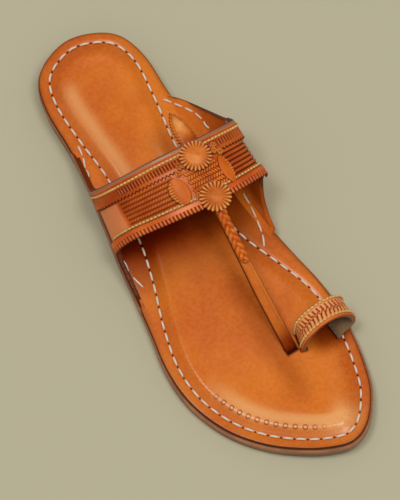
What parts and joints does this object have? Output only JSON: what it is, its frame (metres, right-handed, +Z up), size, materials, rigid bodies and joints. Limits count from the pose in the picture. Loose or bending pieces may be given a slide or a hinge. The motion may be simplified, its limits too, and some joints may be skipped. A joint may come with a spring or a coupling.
{
  "type": "kolhapuri sandal",
  "caption": "Flat leather toe-loop sandal with an arched tooled instep band on side ears, pleated rosettes, plaited centre strap and stitched footbed.",
  "frame": {"origin": "centre of the sandal's bounding box in plan, on the floor it stands on", "axes": "+Y from heel to toe, +X to the outer (lateral) side of the foot, +Z up"},
  "size_m": [0.0942, 0.2576, 0.0525],
  "materials": {
    "heel_stack": "stacked sole leather, dyed edge, rough underneath",
    "sole_leather": "natural vegetable-tanned sole leather, burnished edge",
    "footbed_leather": "tan vegetable-tanned leather, oiled semi-gloss, burnished",
    "strap_leather": "tan strap leather, tooled, dark dyed cut edges",
    "panel_leather": "plain bright tan leather",
    "rosette_leather": "pleated tan leather disc",
    "plait_leather": "plaited thin leather thongs",
    "loop_leather": "tooled tan leather, suede flesh side",
    "waxed_thread": "waxed off-white cotton thread",
    "gold_cord": "twisted gold-coloured zari cord"
  },
  "bodies": {
    "root": {"heel": "heel_stack", "outsole": "sole_leather", "insole": "footbed_leather", "upper": "strap_leather", "back_strap": "strap_leather", "front_strap": "strap_leather", "leaf_lateral": "panel_leather", "leaf_medial": "panel_leather", "rosette_back": "rosette_leather", "rosette_front": "rosette_leather", "braid": "plait_leather", "toe_loop": "loop_leather"}
  },
  "joints": []
}
